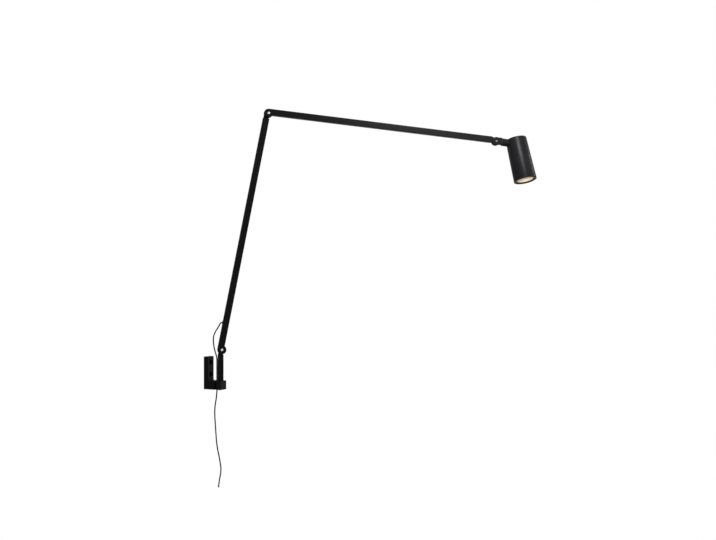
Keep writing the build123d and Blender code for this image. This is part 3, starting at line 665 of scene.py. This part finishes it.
class LAMP_OT_head_can(bpy.types.Operator):
    """Turn the head's tapered can with its closed crown and open mouth"""

    bl_idname = "wall_lamp.head_can"
    bl_label = "Make Head Can"

    def execute(self, context):
        head = context.scene.wall_lamp_head
        crown = head.crown
        mouth = head.crown - head.length
        inner_top = head.top_radius - head.wall
        inner_mouth = head.mouth_radius - head.wall
        outline = [
            (0.0, crown),
            (head.top_radius, crown),
            (head.mouth_radius, mouth),
            (inner_mouth, mouth),
            (inner_top, crown - head.crown_wall),
            (0.0, crown - head.crown_wall),
        ]
        can = spun("head_can", rounded(outline, head.edge), CAN_SEGMENTS, head_matrix(head), context)
        can.data.materials.append(bpy.data.materials["satin_black_powder_coat"])
        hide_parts("head_shell")
        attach(can, "head")
        return {"FINISHED"}


class LAMP_OT_lens(bpy.types.Operator):
    """Turn the lit lens with its moulded ring steps"""

    bl_idname = "wall_lamp.lens"
    bl_label = "Make Lens"

    def execute(self, context):
        head = context.scene.wall_lamp_head
        face = head.crown - head.length + head.lens_recess
        back = face + LENS_THICKNESS
        count = head.lens_rings * STEPS_PER_RING
        outline = [(0.0, face - LENS_DOME)]
        for step in range(1, count + 1):
            share = step / count
            ripple = LENS_RIPPLE * math.sin(share * head.lens_rings * 2 * math.pi)
            height = face - LENS_DOME * (1 - share**2) + ripple
            outline.append((head.lens_radius * share, height))
        outline += [(head.lens_radius, back), (0.0, back)]
        lens = spun("lit_lens_face", outline, LENS_SEGMENTS, head_matrix(head), context)
        rings = lens.data.uv_layers.new(name="rings")
        to_local = head_matrix(head).inverted()
        # UV X: share of the radius, for the rings; UV Y: place towards the side that the painted light brightens
        for loop in lens.data.loops:
            place = to_local @ lens.data.vertices[loop.vertex_index].co / head.lens_radius
            along = place.x * PAINTED_BRIGHT_SIDE[0] + place.y * PAINTED_BRIGHT_SIDE[1]
            rings.data[loop.index].uv = (math.hypot(place.x, place.y), 0.5 + 0.5 * along)
        lens.data.materials.append(bpy.data.materials["warm_lit_lens"])
        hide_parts("lamp_lens")
        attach(lens, "head")
        return {"FINISHED"}


# Stage ------------------------------------------------------------------------------


def backdrop_world(scene, level):
    """White to the camera, in gloss and through glass, and an even light on the lamp."""
    world = bpy.data.worlds.new("studio")
    world.use_nodes = True
    scene.world = world
    tree = world.node_tree
    tree.nodes.clear()
    output = tree.nodes.new("ShaderNodeOutputWorld")
    shader = tree.nodes.new("ShaderNodeBackground")
    shader.inputs["Color"].default_value = (1.0, 1.0, 1.0, 1.0)
    strength = seen_level(tree, level)
    tree.links.new(strength, shader.inputs["Strength"])
    tree.links.new(shader.outputs["Background"], output.inputs["Surface"])


def seen_level(tree, level):
    """1 for camera, glossy and transmission rays, and level for all others."""
    path = tree.nodes.new("ShaderNodeLightPath")
    first = tree.nodes.new("ShaderNodeMath")
    first.operation = "MAXIMUM"
    tree.links.new(path.outputs["Is Camera Ray"], first.inputs[0])
    tree.links.new(path.outputs["Is Transmission Ray"], first.inputs[1])
    second = tree.nodes.new("ShaderNodeMath")
    second.operation = "MAXIMUM"
    tree.links.new(first.outputs["Value"], second.inputs[0])
    tree.links.new(path.outputs["Is Glossy Ray"], second.inputs[1])
    strength = tree.nodes.new("ShaderNodeMapRange")
    strength.inputs["To Min"].default_value = level
    strength.inputs["To Max"].default_value = 1.0
    tree.links.new(second.outputs["Value"], strength.inputs["Value"])
    return strength.outputs["Result"]


def pale_floor(context, drop):
    """Pale floor far below the lamp: plain white where it is seen, with no shadow, and pale to other rays."""
    work = bmesh.new()
    bmesh.ops.create_circle(work, cap_ends=True, segments=FLOOR_SEGMENTS, radius=FLOOR_RADIUS)
    bmesh.ops.translate(work, verts=work.verts, vec=(0, 0, -drop))
    mesh = bpy.data.meshes.new("pale_floor")
    work.to_mesh(mesh)
    work.free()
    floor = bpy.data.objects.new("pale_floor", mesh)
    context.scene.collection.objects.link(floor)
    material = bpy.data.materials.new("pale_floor")
    material.use_nodes = True
    tree = material.node_tree
    tree.nodes.clear()
    output = tree.nodes.new("ShaderNodeOutputMaterial")
    diffuse = tree.nodes.new("ShaderNodeBsdfDiffuse")
    diffuse.inputs["Color"].default_value = FLOOR_COLOUR
    seen = tree.nodes.new("ShaderNodeEmission")
    seen.inputs["Color"].default_value = (1.0, 1.0, 1.0, 1.0)
    mixed = tree.nodes.new("ShaderNodeMixShader")
    tree.links.new(seen_level(tree, 0.0), mixed.inputs["Fac"])
    tree.links.new(diffuse.outputs["BSDF"], mixed.inputs[1])
    tree.links.new(seen.outputs["Emission"], mixed.inputs[2])
    tree.links.new(mixed.outputs["Shader"], output.inputs["Surface"])
    mesh.materials.append(material)


def soft_light(context, name, power, size, place, target):
    """Rectangular soft light aimed at a point."""
    data = bpy.data.lights.new(name, "AREA")
    data.shape = "RECTANGLE"
    data.size, data.size_y = size
    data.energy = power
    lamp = bpy.data.objects.new(name, data)
    lamp.location = place
    lamp.visible_camera = False
    lamp.rotation_mode = "QUATERNION"
    lamp.rotation_quaternion = (target - place).to_track_quat("-Z", "Y")
    context.scene.collection.objects.link(lamp)


class LAMP_OT_stage(bpy.types.Operator):
    """Set the camera, the pale floor and the soft lights"""

    bl_idname = "wall_lamp.stage"
    bl_label = "Set Stage"

    def execute(self, context):
        stage = context.scene.wall_lamp_stage
        look = Vector((-math.sin(stage.azimuth), math.cos(stage.azimuth), 0))
        right = Vector((math.cos(stage.azimuth), math.sin(stage.azimuth), 0))
        knuckle = LOWER_PIN + NEAR * KNUCKLE_NEAR
        data = bpy.data.cameras.new("photo_camera")
        data.lens = stage.lens
        data.sensor_width = SENSOR_WIDTH
        camera = bpy.data.objects.new("photo_camera", data)
        camera.location = knuckle - look * stage.distance + right * stage.aside + UP * stage.height
        camera.rotation_euler = (math.pi / 2, 0, stage.azimuth)
        context.scene.collection.objects.link(camera)
        context.scene.camera = camera
        context.scene.view_settings.view_transform = "Standard"
        backdrop_world(context.scene, stage.world_level)
        pale_floor(context, stage.floor_drop)
        aim = HEAD_PIN - UP * AIM_DROP
        for name, setting, size, (along, aside, above) in LIGHTS:
            place = aim + look * along + right * aside + UP * above
            soft_light(context, name, getattr(stage, setting), size, place, aim)
        return {"FINISHED"}


# Panel and registration -------------------------------------------------------------


class LAMP_PT_panel(bpy.types.Panel):
    """Wall lamp's steps and settings"""

    bl_label = "Wall Lamp"
    bl_idname = "LAMP_PT_panel"
    bl_space_type = "VIEW_3D"
    bl_region_type = "UI"
    bl_category = "Wall Lamp"

    def draw(self, context):
        layout = self.layout
        for group in SETTINGS:
            box = layout.box()
            settings = getattr(context.scene, group)
            for name in settings.__annotations__:
                box.prop(settings, name)
        for step in STEPS:
            layout.operator(step.bl_idname)


SETTINGS = {
    "wall_lamp_finish": LampFinishSettings,
    "wall_lamp_cord": LampCordSettings,
    "wall_lamp_head": LampHeadSettings,
    "wall_lamp_stage": LampStageSettings,
}
STEPS = (LAMP_OT_finish_nodes, LAMP_OT_cord, LAMP_OT_head_can, LAMP_OT_lens, LAMP_OT_stage)


def register():
    """Register the settings, the steps and the panel."""
    for name, group in SETTINGS.items():
        bpy.utils.register_class(group)
        setattr(bpy.types.Scene, name, bpy.props.PointerProperty(type=group))
    for step in STEPS:
        bpy.utils.register_class(step)
    bpy.utils.register_class(LAMP_PT_panel)


def unregister():
    """Undo register."""
    bpy.utils.unregister_class(LAMP_PT_panel)
    for step in reversed(STEPS):
        bpy.utils.unregister_class(step)
    for name, group in reversed(SETTINGS.items()):
        delattr(bpy.types.Scene, name)
        bpy.utils.unregister_class(group)


def main():
    """Run every step in order."""
    register()
    for step in STEPS:
        category, action = step.bl_idname.split(".")
        getattr(getattr(bpy.ops, category), action)()


if __name__ == "__main__":
    main()
